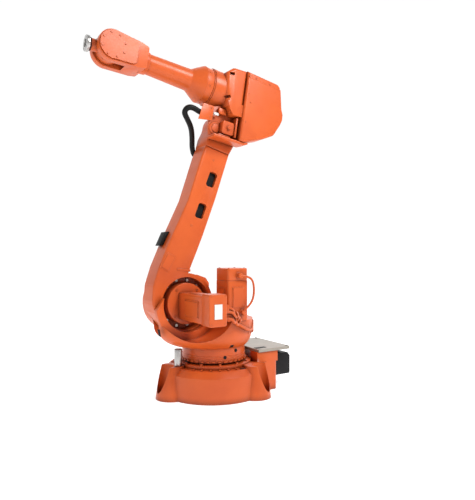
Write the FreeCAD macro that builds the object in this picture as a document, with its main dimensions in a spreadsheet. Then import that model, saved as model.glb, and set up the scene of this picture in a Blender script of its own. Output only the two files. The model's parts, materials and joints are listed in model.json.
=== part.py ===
import FreeCAD, Part
import Sketcher
import math
import os
import re

# Six-axis industrial robot arm, in millimetres. Origin: middle of the base's underside, on the turning
# axis. +X is the robot's front, +Y its left side, +Z up. It stands with its column leaning back and its
# forearm a little above the horizontal. The column and the forearm are drawn in frames of their own:
# the column's +Z runs from shoulder to elbow, and the forearm's +X runs from elbow to wrist.

SIZES = {
    # base
    "foot_radius": 222, "wall_top": 104, "deck_radius": 196, "deck_top": 128, "pad_top": 26,
    "lobe_centre": 204, "lobe_foot": 70, "lobe_crown": 50, "lobe_top": 138,
    "scallop_centre": 238, "scallop_foot": 32, "scallop_crown": 40, "anchor_hole": 9, "anchor_head": 14,
    "seat_radius": 165, "seat_top": 143, "seat_screw_circle": 153, "bearing_radius": 118,
    "post_x": 186, "post_y": 22, "post_radius": 17, "post_top": 209,
    "box_back": 262, "box_half_width": 128, "box_top": 175, "lid_thickness": 13, "lid_back": 332,
    "hood_depth": 100, "hood_top": 150,
    # turret
    "turn_gap": 7, "neck_radius": 139, "neck_top": 208, "turret_deck": 330,
    "turret_front": 285, "turret_back": 160, "turret_left": 180, "turret_right": 147,
    "shoulder_x": 150, "shoulder_z": 400, "cheek_radius": 130, "cheek_thickness": 62, "slot_radius": 162,
    "lip_inner": 119, "lip_outer": 151, "lip_thickness": 26, "swing_gap": 5,
    "hub_radius": 58, "gear_cover_radius": 104, "gear_cover_depth": 32, "motor_flange_radius": 88,
    "motor_width": 76, "motor_depth": 113, "motor_length": 205, "motor_cap": 60, "motor_cap_height": 126,
    "turn_motor_side": 100, "turn_motor_top": 552, "turn_motor_x": -14, "turn_motor_y": 130,
    # column (lower arm)
    "arm_length": 800, "lean_deg": 14.8, "arm_width": 100, "arm_left": 25, "arm_disc": 130,
    "recess_radius": 113, "recess_depth": 48, "elbow_radius": 71, "head_seam": 690,
    "window_width": 44, "window_height": 68, "window_depth": 62, "window_low": 404, "window_high": 553,
    # elbow housing and forearm
    "pitch_deg": 9, "axis_rise": 162, "housing_half_width": 92, "rear_half_width": 99,
    "boss_radius": 84, "seam_reach": 114, "cave_wall": 12, "rear_seam": -30,
    "elbow_hub_radius": 42, "elbow_motor_side": 60, "hose_radius": 12, "hose_far": -114,
    "root_radius": 80, "root_length": 36, "tube_root": 47, "tube_tip": 41, "tube_start": 212,
    "yoke_start": 408, "wrist_reach": 565, "wrist_radius": 60, "wrist_half_width": 58,
    "fork_gap": 27, "fork_swing": 84, "bend_deg": 6, "tilt_radius": 52, "tilt_clearance": 3,
    "trunnion_radius": 20, "neck_reach": 82, "tool_radius": 31.5, "tool_thickness": 12,
    "tool_pitch_radius": 25, "tool_hole": 2.6, "pilot_radius": 15.75, "pilot_depth": 6,
    # fits
    "running_gap": 0.3, "shaft_gap": 0.5,
}

doc = FreeCAD.newDocument("RobotArm")
sheet = doc.addObject("Spreadsheet::Sheet", "sizes")
for row, (alias, value) in enumerate(SIZES.items(), 1):
    sheet.set(f"A{row}", str(value))
    sheet.setAlias(f"A{row}", alias)
doc.recompute()

ELBOW_X = "shoulder_x - arm_length * sin(lean_deg)"
ELBOW_Z = "shoulder_z + arm_length * cos(lean_deg)"
WRIST_X = f"{ELBOW_X} + wrist_reach * cos(pitch_deg) - axis_rise * sin(pitch_deg)"
WRIST_Z = f"{ELBOW_Z} + wrist_reach * sin(pitch_deg) + axis_rise * cos(pitch_deg)"
FRAMES = {
    "base": ("0", "0", "0"),
    "column": ("shoulder_x", "shoulder_z", "-lean_deg"),
    "forearm": (ELBOW_X, ELBOW_Z, "-pitch_deg"),
    "tool": (WRIST_X, WRIST_Z, "bend_deg - pitch_deg"),
}
ALONG = {
    "x": FreeCAD.Rotation(FreeCAD.Vector(0, 1, 0), 90),
    "y": FreeCAD.Rotation(FreeCAD.Vector(1, 0, 0), -90),
    "z": FreeCAD.Rotation(),
}
nodes = []


def bound(text):
    """Return an expression in which the name of each size points at the sheet."""
    return re.sub(r"[a-z][a-z_]*", lambda m: f"sizes.{m[0]}" if m[0] in SIZES else m[0], str(text))


def worth(text):
    """Return an expression's value, for the few shapes that are made in code."""
    probe = doc.getObject("probe") or doc.addObject("App::FeaturePython", "probe")
    if "Worth" not in probe.PropertiesList:
        probe.addProperty("App::PropertyFloat", "Worth")
    probe.setExpression("Worth", bound(text))
    probe.recompute()
    return probe.Worth


def bind(item, **links):
    """Bind properties to expressions in the sheet's names."""
    for name, text in links.items():
        item.setExpression(name, bound(text))
    return item


def locate(item, place):
    """Bind an object's position to three expressions."""
    for axis, text in zip("xyz", place):
        item.setExpression(f"Placement.Base.{axis}", bound(text))
    return item


def block(name, low, size):
    """A box from its low corner."""
    item = locate(doc.addObject("Part::Box", name), low)
    return bind(item, Length=size[0], Width=size[1], Height=size[2])


def rod(name, radius, length, start, along="z"):
    """A cylinder that starts at a point and runs along an axis."""
    item = doc.addObject("Part::Cylinder", name)
    item.Placement.Rotation = ALONG[along]
    locate(item, start)
    return bind(item, Radius=radius, Height=length)


def taper(name, first, last, length, start, along="z"):
    """A cone from its first radius to its last."""
    item = doc.addObject("Part::Cone", name)
    item.Placement.Rotation = ALONG[along]
    locate(item, start)
    return bind(item, Radius1=first, Radius2=last, Height=length)


def joined(name, *parts):
    """Several shapes as one."""
    item = doc.addObject("Part::MultiFuse", name)
    item.Shapes = list(parts)
    item.Refine = True
    return item


def without(name, base, *tools):
    """A shape less one or more others."""
    item = doc.addObject("Part::Cut", name)
    item.Base = base
    item.Tool = tools[0] if len(tools) == 1 else joined(f"{name}_tools", *tools)
    item.Refine = True
    return item


def edge_names(shape, wanted):
    """The names of the edges that pass a test."""
    return [f"Edge{n}" for n, edge in enumerate(shape.Edges, 1) if wanted(edge)]


def rounded(body, base, radius, names):
    """Round some edges of a body's last feature."""
    item = body.newObject("PartDesign::Fillet", f"{body.Name}_round")
    item.Base = (base, names)
    bind(item, Radius=radius)
    doc.recompute()
    return item


def outline(name, plane, corners, depth, start, rounds=(), rim=None, back_rim=None):
    """A body padded from a straight-sided outline.

    On the side plane the corners are (x, z) and the pad runs from y = start towards -y. On the plan
    plane they are (x, y) and it runs up from z = start. rounds lists (radius, corner numbers), and rim
    and back_rim round the edges of the first and the last face."""
    body = doc.addObject("PartDesign::Body", name)
    sketch = body.newObject("Sketcher::SketchObject", f"{name}_sketch")
    role = {"side": "XZ_Plane", "plan": "XY_Plane"}[plane]
    support = next(f for f in body.Origin.OriginFeatures if f.Role == role)
    sketch.AttachmentSupport = [(support, "")]
    sketch.MapMode = "FlatFace"
    spots = [FreeCAD.Vector(worth(across), worth(up), 0) for across, up in corners]
    count = len(spots)
    for n, spot in enumerate(spots):
        sketch.addGeometry(Part.LineSegment(spot, spots[(n + 1) % count]), False)
    for n in range(count):
        sketch.addConstraint(Sketcher.Constraint("Coincident", n, 2, (n + 1) % count, 1))
    for n, (across, up) in enumerate(corners):
        for kind, text, size in (("DistanceX", across, spots[n].x), ("DistanceY", up, spots[n].y)):
            number = sketch.addConstraint(Sketcher.Constraint(kind, -1, 1, n, 1, size))
            sketch.renameConstraint(number, f"{kind}_{n}")
            sketch.setExpression(f"Constraints.{kind}_{n}", bound(text))
    pad = body.newObject("PartDesign::Pad", f"{name}_pad")
    pad.Profile = sketch
    bind(pad, Length=depth)
    locate(body, ("0", start, "0") if plane == "side" else ("0", "0", start))
    doc.recompute()
    tip = pad
    normal = sketch.Placement.Rotation.multVec(FreeCAD.Vector(0, 0, 1))
    for radius, numbers in rounds:
        feet = [sketch.Placement.multVec(spots[n]) for n in numbers]
        tip = rounded(body, tip, radius, edge_names(tip.Shape, lambda edge: any(
            all((v.Point - foot).cross(normal).Length < 1e-4 for v in edge.Vertexes) for foot in feet)))
    for radius, level in ((rim, 0), (back_rim, pad.Length.Value)):
        if radius:
            tip = rounded(body, tip, radius, edge_names(tip.Shape, lambda edge: all(
                abs(v.Point.dot(normal) - level) < 1e-4 for v in edge.Vertexes)))
    return body


def node(item, label, frame="base"):
    """Name a finished piece, and stand it in its frame."""
    if frame != "base":
        x, z, turn = FRAMES[frame]
        drawn = item
        item = doc.addObject("Part::Compound", f"{drawn.Name}_stood")
        item.Links = [drawn]
        item.setExpression("Placement", bound(
            f"placement(vector({x}; 0; {z}); rotation(vector(0; 1; 0); {turn}))"))
    item.Label = label
    nodes.append(item)
    return item


def turned(number, count, radius, first=0):
    """The x and y of one place of several round a circle, as expressions."""
    angle = f"{first + 360 * number / count}"
    return f"({radius}) * cos({angle})", f"({radius}) * sin({angle})"


# ---- base ----------------------------------------------------------------------------------------

def base_casting():
    solids = [
        rod("foot_wall", "foot_radius", "wall_top", ("0", "0", "0")),
        taper("foot_shoulder", "foot_radius", "deck_radius", "deck_top - wall_top", ("0", "0", "wall_top")),
        outline("connection_box", "plan", [
            ("-90", "box_half_width + 52"), ("-90", "-box_half_width - 52"),
            ("-box_back + 60", "-box_half_width"), ("-box_back", "-box_half_width"),
            ("-box_back", "box_half_width"), ("-box_back + 60", "box_half_width")],
            "deck_top", "0", rounds=[("18", (3, 4))]),
        block("box_tower", ("-box_back", "-box_half_width", "deck_top - 1"),
              ("box_back - 150", "2 * box_half_width", "box_top - deck_top + 1")),
    ]
    hollows = [rod("seat_clearance", "seat_radius + 2", "100", ("0", "0", "deck_top")),
               block("cable_mouth", ("-50", "-deck_radius + 8", "deck_top - 40"), ("52", "26", "60")),
               block("box_socket", ("-box_back - 5", "-99", "45"), ("39", "198", "102"))]
    for n in range(3):
        x, y = turned(n, 3, "lobe_centre")
        solids.append(taper(f"lobe_{n}", "lobe_foot", "lobe_crown", "lobe_top", (x, y, "0")))
        x, y = turned(n, 3, "scallop_centre")
        hollows.append(taper(f"scallop_{n}", "scallop_foot", "scallop_crown", "lobe_top - pad_top + 1",
                             (x, y, "pad_top")))
        hollows.append(rod(f"anchor_bore_{n}", "anchor_hole", "60", (x, y, "-1")))
    node(without("base_shell", joined("base_mass", *solids), *hollows), "base_casting")


def base_fittings():
    ring = rod("seat_disc", "seat_radius", "seat_top - deck_top", ("0", "0", "deck_top"))
    race = rod("bearing_race", "bearing_radius", "seat_top + turn_gap - running_gap - deck_top",
               ("0", "0", "deck_top"))
    heads = [rod(f"seat_screw_{n}", "6", "6", (*turned(n, 12, "seat_screw_circle", 10), "seat_top"))
             for n in range(12)]
    node(joined("seat", ring, race, *heads), "turning_bearing")
    for n in range(3):
        x, y = turned(n, 3, "scallop_centre")
        shank = rod(f"anchor_shank_{n}", "anchor_hole - shaft_gap", "pad_top", (x, y, "0"))
        head = rod(f"anchor_top_{n}", "anchor_head", "12", (x, y, "pad_top"))
        node(joined(f"anchor_{n}", shank, head), f"anchor_bolt_{n + 1}")
    node(rod("post", "post_radius", "post_top - lobe_top", ("post_x", "post_y", "lobe_top")), "stop_post")
    node(outline("lid", "plan", [
        ("-lid_back", "-box_half_width - 8"), ("-152", "-box_half_width - 8"),
        ("-152", "box_half_width + 8"), ("-lid_back", "box_half_width + 8")],
        "lid_thickness", "box_top", rounds=[("14", (0, 3)), ("4", (1, 2))], back_rim="3"), "connection_lid")
    panel = block("panel_plate", ("-box_back - 5", "-99", "45"), ("39", "198", "102"))
    hoods = [outline(f"hood_{n}", "side", [
        ("-box_back - 5", "50"), ("-box_back - 5", "hood_top"), ("-box_back - hood_depth + 14", "hood_top"),
        ("-box_back - hood_depth", "hood_top - 16"), ("-box_back - hood_depth", "50")],
        "56", f"{-60 + 62 * n} + 28", rounds=[("8", (2, 3, 4))]) for n in range(3)]
    node(joined("panel", panel, *hoods), "connector_panel")


# ---- turret --------------------------------------------------------------------------------------

CHEEK_FACE = "arm_left - arm_width - swing_gap"
CHEEK_BACK = f"{CHEEK_FACE} - cheek_thickness"
LIP_FACE = "arm_left + swing_gap"


BOWL_REACHES = ["turret_front", "262", "196", "turret_left", "180", "172", "turret_back", "160", "156",
                "turret_right", "158", "240"]
BOWL_LEVELS = [("neck_top", "0"), ("neck_top + 11", "0.34"), ("neck_top + 29", "0.65"),
               ("neck_top + 44", "0.8"), ("neck_top + 81", "0.95"), ("turret_deck", "1")]


def bowl():
    """The smooth body that opens out from the neck, lofted through closed splines at each level."""
    sections = []
    for level, share in BOWL_LEVELS:
        spots = []
        for n, reach in enumerate(BOWL_REACHES):
            x, y = turned(n, len(BOWL_REACHES), f"neck_radius - 2 + ({reach} - neck_radius + 2) * {share}")
            spots.append(FreeCAD.Vector(worth(x), worth(y), worth(level)))
        curve = Part.BSplineCurve()
        curve.interpolate(spots, PeriodicFlag=True)
        sections.append(Part.Wire([curve.toShape()]))
    item = doc.addObject("Part::Feature", "turret_bowl")
    item.Shape = Part.makeLoft(sections, True, False)
    return item


def turret_casting():
    neck_bottom = "seat_top + turn_gap"
    solids = [
        rod("turret_neck", "neck_radius", f"neck_top + 30 - ({neck_bottom})", ("0", "0", neck_bottom)),
        bowl(),
        rod("cheek_disc", "cheek_radius", "cheek_thickness", ("shoulder_x", CHEEK_BACK, "shoulder_z"), "y"),
        outline("cheek_web", "side", [
            ("-60", "turret_deck - 20"), ("turret_front - 50", "turret_deck - 20"),
            ("shoulder_x + cheek_radius - 6", "shoulder_z - 10"), ("shoulder_x", "shoulder_z + 60"),
            ("shoulder_x - cheek_radius + 4", "shoulder_z + 40")], "cheek_thickness", CHEEK_FACE),
        rod("lip_ring", "lip_outer", "lip_thickness", ("shoulder_x", LIP_FACE, "shoulder_z"), "y"),
        outline("lip_web", "side", [
            ("shoulder_x - lip_outer + 22", "turret_deck - 20"),
            ("shoulder_x + lip_outer - 24", "turret_deck - 20"),
            ("shoulder_x + lip_outer - 6", "shoulder_z - 36"), ("shoulder_x", "shoulder_z - 20"),
            ("shoulder_x - lip_outer + 10", "shoulder_z - 36")], "lip_thickness",
            f"{LIP_FACE} + lip_thickness"),
    ]
    hollows = [
        rod("arm_slot", "slot_radius", "arm_width + 2 * swing_gap",
            ("shoulder_x", CHEEK_FACE, "shoulder_z"), "y"),
        outline("arm_sweep", "side", [
            ("shoulder_x - 56", "shoulder_z - 159"), ("turret_front + 60", "shoulder_z - 240"),
            ("turret_front + 60", "shoulder_z + 40"), ("shoulder_x - 56", "shoulder_z + 40")],
            "arm_width + 2 * swing_gap", LIP_FACE),
        rod("lip_bore", "lip_inner", "lip_thickness + 60", ("shoulder_x", LIP_FACE, "shoulder_z"), "y"),
        outline("lip_opening", "side", [
            ("shoulder_x - 170", "shoulder_z - 30"), ("shoulder_x + 108", "shoulder_z + 40"),
            ("shoulder_x + 175", "shoulder_z - 60"), ("shoulder_x + 175", "shoulder_z + 170"),
            ("shoulder_x - 170", "shoulder_z + 170")],
            "lip_thickness + 2", f"{LIP_FACE} + lip_thickness + 1"),
        rod("ring_front", "lip_outer", "turret_left",
            ("shoulder_x", f"{LIP_FACE} + lip_thickness", "shoulder_z"), "y"),
    ]
    node(without("turret", joined("turret_mass", *solids), *hollows), "turret_casting")


def turret_fittings():
    axis = ("shoulder_x", CHEEK_FACE, "shoulder_z")
    recess_floor = "arm_left - recess_depth"
    node(rod("hub", "hub_radius", f"{recess_floor} + swing_gap - ({CHEEK_FACE})", axis, "y"), "shoulder_hub")
    cover = rod("gear_cover_disc", "gear_cover_radius", "gear_cover_depth",
                ("shoulder_x", f"{CHEEK_BACK} - gear_cover_depth", "shoulder_z"), "y")
    step = rod("gear_cover_step", "gear_cover_radius - 26", "8",
               ("shoulder_x", f"{CHEEK_BACK} - gear_cover_depth - 8", "shoulder_z"), "y")
    screws = []
    for n in range(12):
        x, z = turned(n, 12, "gear_cover_radius - 12")
        screws.append(rod(f"gear_screw_{n}", "5", "5", (
            f"shoulder_x + {x}", f"{CHEEK_BACK} - gear_cover_depth - 5", f"shoulder_z + {z}"), "y"))
    node(joined("gear_cover", cover, step, *screws), "shoulder_gear_cover")
    flange = rod("motor_flange_disc", "motor_flange_radius", "recess_depth - swing_gap + 4",
                 ("shoulder_x", f"{recess_floor} + swing_gap", "shoulder_z"), "y")
    node(flange, "shoulder_motor_flange")
    motor_start = "arm_left + 4"
    motor_z = "shoulder_z - 8"
    side = "motor_width / 2"
    rise = "motor_depth / 2"
    node(outline("motor", "side", [
        (f"shoulder_x - {side}", f"{motor_z} - {rise}"), (f"shoulder_x + {side}", f"{motor_z} - {rise}"),
        (f"shoulder_x + {side}", f"{motor_z} + {rise}"), (f"shoulder_x - {side}", f"{motor_z} + {rise}")],
        "motor_length", f"{motor_start} + motor_length", rounds=[("9", (0, 1, 2, 3))]), "shoulder_motor")
    node(outline("motor_end", "side", [
        (f"shoulder_x - {side} - 2", f"{motor_z} - {rise} - 4"),
        (f"shoulder_x + {side} + 2", f"{motor_z} - {rise} - 4"),
        (f"shoulder_x + {side} + 2", f"{motor_z} - {rise} - 4 + motor_cap_height"),
        (f"shoulder_x - {side} - 2", f"{motor_z} - {rise} - 4 + motor_cap_height")],
        "motor_cap", f"{motor_start} + motor_length + motor_cap", rounds=[("10", (0, 1, 2, 3))], rim="5"),
        "shoulder_motor_cap")
    node(block("plate", ("shoulder_x - 17", f"{motor_start} + motor_length + motor_cap", f"{motor_z} - 30"),
               ("34", "1.5", "57")), "rating_plate")
    half = "turn_motor_side / 2"
    corners = [(f"turn_motor_x - {half}", f"turn_motor_y - {half}"),
               (f"turn_motor_x + {half}", f"turn_motor_y - {half}"),
               (f"turn_motor_x + {half}", f"turn_motor_y + {half}"),
               (f"turn_motor_x - {half}", f"turn_motor_y + {half}")]
    node(outline("turn_motor_case", "plan", corners, "turn_motor_top - 52 - turret_deck", "turret_deck",
                 rounds=[("9", (0, 1, 2, 3))]), "turning_motor")
    node(outline("turn_motor_end", "plan", corners, "52", "turn_motor_top - 52",
                 rounds=[("12", (0, 1, 2, 3))], back_rim="5"), "turning_motor_cap")
    lug = outline("lug_plate", "side", [
        ("20", "shoulder_z - 50"), ("60", "shoulder_z + 60"), ("60", "shoulder_z + 112"),
        ("30", "shoulder_z + 116"), ("-16", "shoulder_z + 100"), ("-34", "shoulder_z + 76"),
        ("-34", "shoulder_z - 50")], "18", f"{CHEEK_FACE} - 20", rounds=[("12", (3, 4, 5))])
    eye = outline("lug_eye", "side", [
        ("-16", "shoulder_z + 28"), ("34", "shoulder_z + 74"), ("30", "shoulder_z + 97"),
        ("6", "shoulder_z + 94"), ("-16", "shoulder_z + 72")], "22", f"{CHEEK_FACE} - 18",
        rounds=[("6", (0, 1, 2, 3, 4))])
    node(without("lug", lug, eye, doc.getObject("turret")), "lifting_lug")


# ---- column --------------------------------------------------------------------------------------

def column():
    beam = outline("beam", "side", [
        ("80", "head_seam"), ("88", "head_seam - 50"), ("102", "434"), ("145", "216"), ("160", "120"),
        ("165", "40"), ("152", "-30"), ("128", "-68"), ("85", "-98"), ("0", "-100"), ("-60", "0"),
        ("24", "96"), ("17", "150"), ("7", "212"), ("-6", "301"), ("-26", "475"), ("-42", "head_seam")],
        "arm_width", "arm_left", rounds=[("60", (4, 5, 6)), ("24", (7,))], rim="8", back_rim="5")
    disc = rod("beam_disc", "arm_disc", "arm_width", ("0", "arm_left - arm_width", "0"), "y")
    hollows = [
        rod("recess", "recess_radius", "recess_depth + 1", ("0", "arm_left - recess_depth", "0"), "y"),
        rod("hub_bore", "hub_radius + shaft_gap", "arm_width", ("0", "arm_left - arm_width - 1", "0"), "y"),
    ]
    for name, centre, level in (("low", "31", "window_low"), ("high", "14", "window_high")):
        side = "window_width / 2"
        rise = "window_height / 2"
        hollows.append(outline(f"window_{name}", "side", [
            (f"{centre} - {side} + 8", f"{level} - {rise}"), (f"{centre} + {side} + 4", f"{level} - {rise}"),
            (f"{centre} + {side} - 4", f"{level} + {rise}"), (f"{centre} - {side}", f"{level} + {rise}")],
            "window_depth + 1", "arm_left + 1", rounds=[("11", (0, 1, 2, 3))]))
    node(without("beam_shell", joined("beam_mass", disc, beam), *hollows), "lower_arm", "column")

    neck = outline("head_neck", "side", [
        ("80", "head_seam"), ("80", "732"), ("elbow_radius", "771"), ("elbow_radius - 3", "arm_length + 10"),
        ("-elbow_radius + 2", "arm_length - 18"), ("-42", "head_seam")], "arm_width", "arm_left",
        rounds=[("30", (1, 2))], rim="8")
    disc = rod("head_disc", "elbow_radius", "arm_width", ("0", "arm_left - arm_width", "arm_length"), "y")
    bore = rod("head_bore", "elbow_hub_radius + shaft_gap", "arm_width - 20",
               ("0", "arm_left - arm_width + 20", "arm_length"), "y")
    node(without("head", joined("head_mass", disc, neck), bore), "elbow_head", "column")

    plate = rod("head_cap_disc", "elbow_radius - 9", "5", ("0", "arm_left - arm_width - 5", "arm_length"), "y")
    screws = []
    for n in range(8):
        x, z = turned(n, 8, "elbow_radius - 18")
        screws.append(rod(f"head_cap_screw_{n}", "4", "4",
                          (x, "arm_left - arm_width - 9", f"arm_length + {z}"), "y"))
    node(joined("head_cap", plate, *screws), "elbow_cap", "column")
    knob = rod("knob_stem", "9", "26", ("-58", "arm_left - arm_width - 26", "arm_length - 52"), "y")
    node(knob, "arm_cable_stud", "column")
    screws = []
    for n in range(12):
        x, z = turned(n, 12, "(motor_flange_radius + recess_radius) / 2")
        screws.append(rod(f"recess_screw_{n}", "6", "7", (x, "arm_left - recess_depth", z), "y"))
    node(joined("recess_screws", *screws), "shoulder_screws", "column")
    node(outline("buffer", "side", [
        ("161", "212"), ("144.7", "220"), ("132.1", "284"), ("149", "277")],
        "46", "arm_left - 50"), "arm_buffer", "column")
    sleeve = rod("arm_gland", "hose_radius + 4", "28", ("-4", "hose_far", "668"), "x")
    bore = rod("arm_gland_bore", "hose_radius + shaft_gap", "20", ("9", "hose_far", "668"), "x")
    foot = block("arm_gland_foot", ("-4", "hose_far + 8", "656"),
                 ("28", "arm_left - arm_width - (hose_far) - 8", "24"))
    whole = joined("arm_gland_mass", sleeve, foot)
    node(without("arm_gland_whole", whole, bore), "arm_hose_gland", "column")


# ---- elbow housing -------------------------------------------------------------------------------

HOUSING_BACK = "arm_left + swing_gap"


def elbow_housing():
    upper = outline("housing_upper", "side", [
        ("46", "axis_rise - boss_radius"), ("66", "axis_rise"), ("70", "226"), ("38", "256"),
        ("rear_seam", "262"), ("rear_seam", "axis_rise - boss_radius")],
        "2 * housing_half_width", "housing_half_width", rounds=[("26", (3,))], rim="16", back_rim="16")
    boss = rod("housing_boss", "boss_radius", "seam_reach - 20", ("20", "0", "axis_rise"), "x")
    near = outline("housing_near", "side", [
        ("50", "axis_rise - 60"), ("43", "80"), ("16", "44"), ("rear_seam", "48"),
        ("rear_seam", "axis_rise - 60")],
        f"housing_half_width - ({HOUSING_BACK})", "housing_half_width", rounds=[("14", (2,))])
    wall = outline("cave_back", "side", [
        ("50", "86"), ("rear_seam", "86"), ("rear_seam", "-60"), ("92", "-60"), ("104", "-20"),
        ("104", "66")], "cave_wall", f"{HOUSING_BACK} + cave_wall")
    node(joined("housing", upper, boss, near, wall), "elbow_housing", "forearm")

    face = "housing_half_width"
    shell = outline("rear_shell", "side", [
        ("rear_seam", "262"), ("-200", "259"), ("-216", "246"), ("-233", "141"),
        ("-196", "axis_rise - boss_radius"), ("rear_seam", "axis_rise - boss_radius")],
        "housing_half_width + rear_half_width", "rear_half_width", rounds=[("18", (1, 2)), ("30", (4,))],
        rim="16", back_rim="16")
    bulge = outline("rear_bulge", "side", [
        ("rear_seam", "236"), ("rear_seam", "-58"), ("-56", "-60"), ("-150", "-20"), ("-208", "14"),
        ("-238", "72"), ("-247", "98"), ("-246", "124"), ("-235", "148"), ("-216", "236")],
        f"rear_half_width + 3 - ({HOUSING_BACK})", "rear_half_width + 3",
        rounds=[("30", (3, 4)), ("16", (5, 6, 7, 8))], rim="10")
    node(joined("rear", shell, bulge), "rear_cover", "forearm")
    shaft = rod("elbow_shaft", "elbow_hub_radius", f"{HOUSING_BACK} - (arm_left - arm_width + 26)",
                ("0", "arm_left - arm_width + 26", "0"), "y")
    shoulder = rod("elbow_shoulder", "elbow_radius - 14", "swing_gap - shaft_gap",
                   ("0", "arm_left + shaft_gap", "0"), "y")
    node(joined("elbow_pivot", shaft, shoulder), "elbow_hub", "forearm")
    half = "elbow_motor_side / 2"
    motor = outline("elbow_motor_case", "side", [
        (f"22 - {half}", f"-14 - {half}"), (f"22 + {half}", f"-14 - {half}"),
        (f"22 + {half}", f"-14 + {half}"), (f"22 - {half}", f"-14 + {half}")],
        "34", f"{HOUSING_BACK} + cave_wall + 34", rounds=[("12", (0, 1, 2, 3))], rim="4")
    node(motor, "elbow_motor", "forearm")
    node(outline("tray", "side", [
        ("96", "-60"), ("-36", "-60"), ("-56", "-62"), ("-76", "-54"), ("-80", "-62"), ("-56", "-72"),
        ("96", "-72")], f"{face} - ({HOUSING_BACK})", face), "bottom_plate", "forearm")
    plate_face = f"{HOUSING_BACK} + cave_wall + 22"
    plate = outline("bracket_plate", "side", [("100", "64"), ("152", "62"), ("166", "-12"), ("100", "0")],
                    "4", plate_face)
    tab = block("bracket_tab", ("100", f"{HOUSING_BACK} + cave_wall", "0"), ("4", "20", "62"))
    node(joined("bracket", plate, tab), "hose_bracket", "forearm")
    node(rod("gland", "hose_radius + 2", "16", ("104", f"{HOUSING_BACK} + hose_radius + 2", "24"), "x"),
         "hose_gland", "forearm")
    ring = rod("collar_ring", "boss_radius - 3", "6", ("seam_reach", "0", "axis_rise"), "x")
    spigot = rod("collar_spigot", "30", "26", ("seam_reach", "0", "axis_rise"), "x")
    node(joined("collar", ring, spigot), "turning_collar", "forearm")


def forearm():
    root = "seam_reach + 6 + shaft_gap"
    cone_start = f"{root} + root_length"
    solids = [
        rod("root_disc", "root_radius", "root_length", (root, "0", "axis_rise"), "x"),
        taper("root_cone", "root_radius", "tube_root + 9", "40", (cone_start, "0", "axis_rise"), "x"),
        taper("root_neck", "tube_root + 9", "tube_root", f"tube_start - ({cone_start} + 40)",
              (f"{cone_start} + 40", "0", "axis_rise"), "x"),
        taper("tube", "tube_root", "tube_tip", "yoke_start + 20 - tube_start",
              ("tube_start", "0", "axis_rise"), "x"),
    ]
    socket = rod("root_socket", "30 + shaft_gap", "25", (f"{root} - 1", "0", "axis_rise"), "x")
    node(without("forearm_shell", joined("forearm_mass", *solids), socket), "forearm_tube", "forearm")

    yoke = outline("yoke_body", "side", [
        ("yoke_start + 14", "axis_rise + 44"), ("yoke_start + 48", "axis_rise + 52"),
        ("wrist_reach - 24", "axis_rise + wrist_radius - 2"), ("wrist_reach", "axis_rise + wrist_radius"),
        ("wrist_reach", "axis_rise - wrist_radius"), ("wrist_reach - 24", "axis_rise - wrist_radius + 2"),
        ("yoke_start + 48", "axis_rise - 52"), ("yoke_start + 14", "axis_rise - 44")],
        "2 * wrist_half_width", "wrist_half_width", rounds=[("30", (1, 6)), ("10", (0, 7))])
    root = taper("yoke_root", "tube_tip + 5", "wrist_half_width - 9", "30",
                 ("yoke_start - 2", "0", "axis_rise"), "x")
    end = rod("yoke_end", "wrist_radius", "2 * wrist_half_width",
              ("wrist_reach", "-wrist_half_width", "axis_rise"), "y")
    slot = rod("fork_slot", "fork_swing", "2 * fork_gap", ("wrist_reach", "-fork_gap", "axis_rise"), "y")
    pivots = rod("fork_bore", "trunnion_radius + shaft_gap", "2 * wrist_half_width - 10",
                 ("wrist_reach", "5 - wrist_half_width", "axis_rise"), "y")
    tube_seat = taper("tube_seat", "tube_root", "tube_tip", "yoke_start + 20 - tube_start",
                      ("tube_start", "0", "axis_rise"), "x")
    mass = joined("yoke_mass", yoke, root, end)
    node(without("yoke", mass, slot, pivots, tube_seat), "wrist_fork", "forearm")
    for side, face in (("left", "wrist_half_width"), ("right", "-wrist_half_width - 6")):
        head = "wrist_half_width + 6" if side == "left" else "-wrist_half_width - 9"
        disc = rod(f"cover_disc_{side}", "wrist_radius - 5", "6", ("wrist_reach", face, "axis_rise"), "y")
        tail = outline(f"cover_tail_{side}", "side", [
            ("wrist_reach", "axis_rise + wrist_radius - 5"), ("yoke_start + 60", "axis_rise + 46"),
            ("yoke_start + 60", "axis_rise - 46"), ("wrist_reach", "axis_rise - wrist_radius + 5")],
            "6", f"{face} + 6", rounds=[("14", (1, 2))])
        screws = []
        for n in range(8):
            x, z = turned(n, 8, "wrist_radius - 13", 22.5)
            screws.append(rod(f"cover_screw_{side}_{n}", "4", "3",
                              (f"wrist_reach + {x}", head, f"axis_rise + {z}"), "y"))
        node(joined(f"cover_{side}", disc, tail, *screws), f"wrist_cover_{side}", "forearm")


def wrist():
    width = "fork_gap - tilt_clearance"
    solids = [
        rod("tilt_drum", "tilt_radius", f"2 * ({width})", ("0", f"-({width})", "0"), "y"),
        rod("tilt_trunnion", "trunnion_radius", "2 * (wrist_half_width - 8)",
            ("0", "8 - wrist_half_width", "0"), "y"),
        rod("tilt_neck", f"{width}", "neck_reach - shaft_gap", ("0", "0", "0"), "x"),
    ]
    bore = rod("tilt_bore", "16 + shaft_gap", "40", ("neck_reach - 30", "0", "0"), "x")
    node(without("tilt", joined("tilt_mass", *solids), bore), "wrist_tilt_unit", "tool")

    disc = rod("flange_disc", "tool_radius", "tool_thickness", ("neck_reach", "0", "0"), "x")
    shaft = rod("flange_shaft", "16", "28", ("neck_reach - 28", "0", "0"), "x")
    face = "neck_reach + tool_thickness"
    hollows = [rod("pilot", "pilot_radius", "pilot_depth + 1", (f"{face} - pilot_depth", "0", "0"), "x")]
    for n in range(4):
        y, z = turned(n, 4, "tool_pitch_radius", 45)
        hollows.append(rod(f"tool_bore_{n}", "tool_hole", "10", (f"{face} - 9", y, z), "x"))
    node(without("flange", joined("flange_mass", disc, shaft), *hollows), "tool_flange", "tool")


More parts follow.
